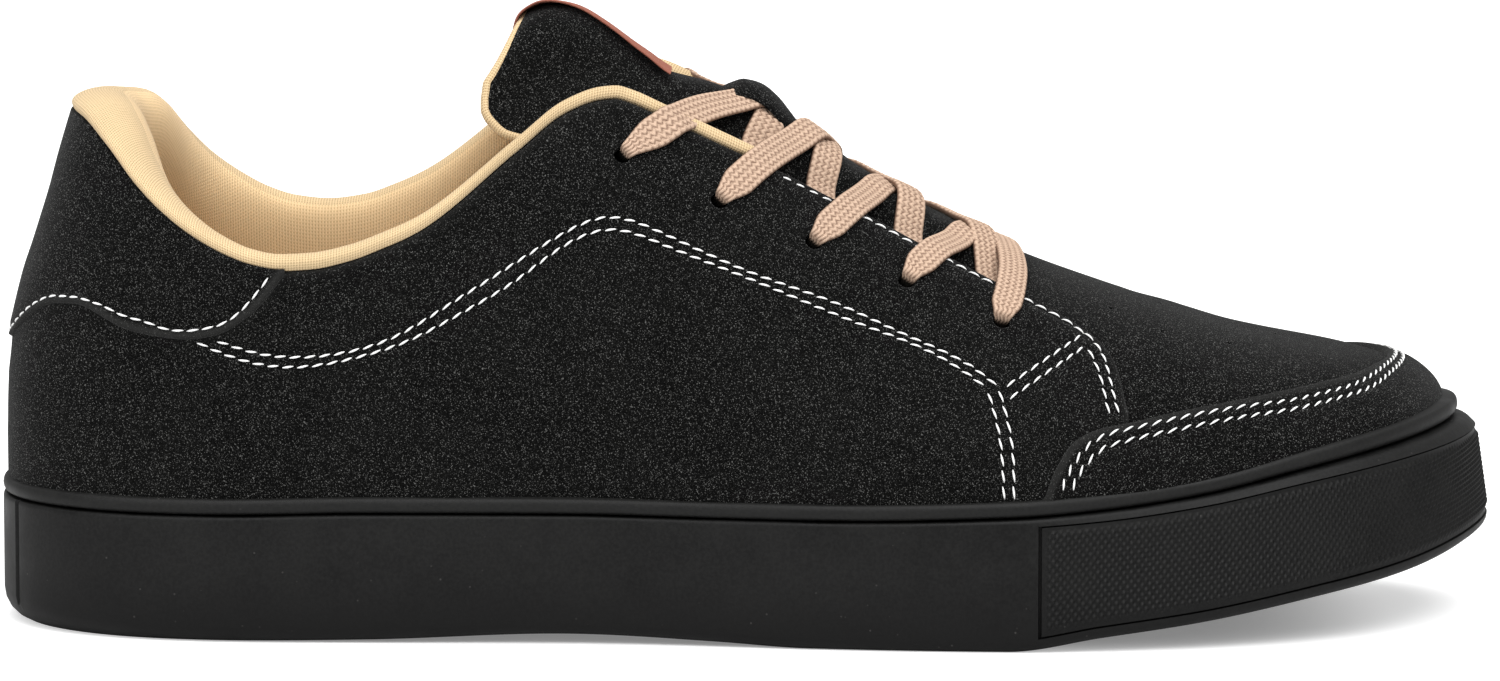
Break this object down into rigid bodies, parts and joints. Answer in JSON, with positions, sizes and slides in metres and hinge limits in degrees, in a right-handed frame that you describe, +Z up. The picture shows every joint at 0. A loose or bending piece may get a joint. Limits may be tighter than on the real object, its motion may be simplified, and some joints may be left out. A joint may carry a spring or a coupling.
{
  "type": "sneaker",
  "caption": "Low-top lace-up sneaker for the right foot: black suede upper, beige knit collar and lining, flat beige lace and a black rubber cup sole with a toe bumper.",
  "frame": {"origin": "on the floor under the middle of the sole", "axes": "+X towards the toe, +Y towards the inner side of the foot, +Z up"},
  "size_m": [0.2995, 0.1078, 0.1236],
  "materials": {
    "sole_rubber": "satin black rubber",
    "suede": "black suede, matt",
    "knit": "beige knit",
    "braid": "beige flat braid",
    "label_leather": "reddish brown smooth leather"
  },
  "bodies": {
    "root": {"cup_sole": "sole_rubber", "toe_bumper": "sole_rubber", "rand": "sole_rubber", "insole": "knit", "upper": "suede", "quarters": "suede", "heel_panel": "suede", "toe_guard": "suede", "collar_lining": "knit", "tongue": "suede", "tongue_label": "label_leather", "lace_crossing_1": "braid", "lace_crossing_2": "braid", "lace_crossing_3": "braid", "lace_crossing_4": "braid", "lace_bar": "braid"}
  },
  "joints": []
}
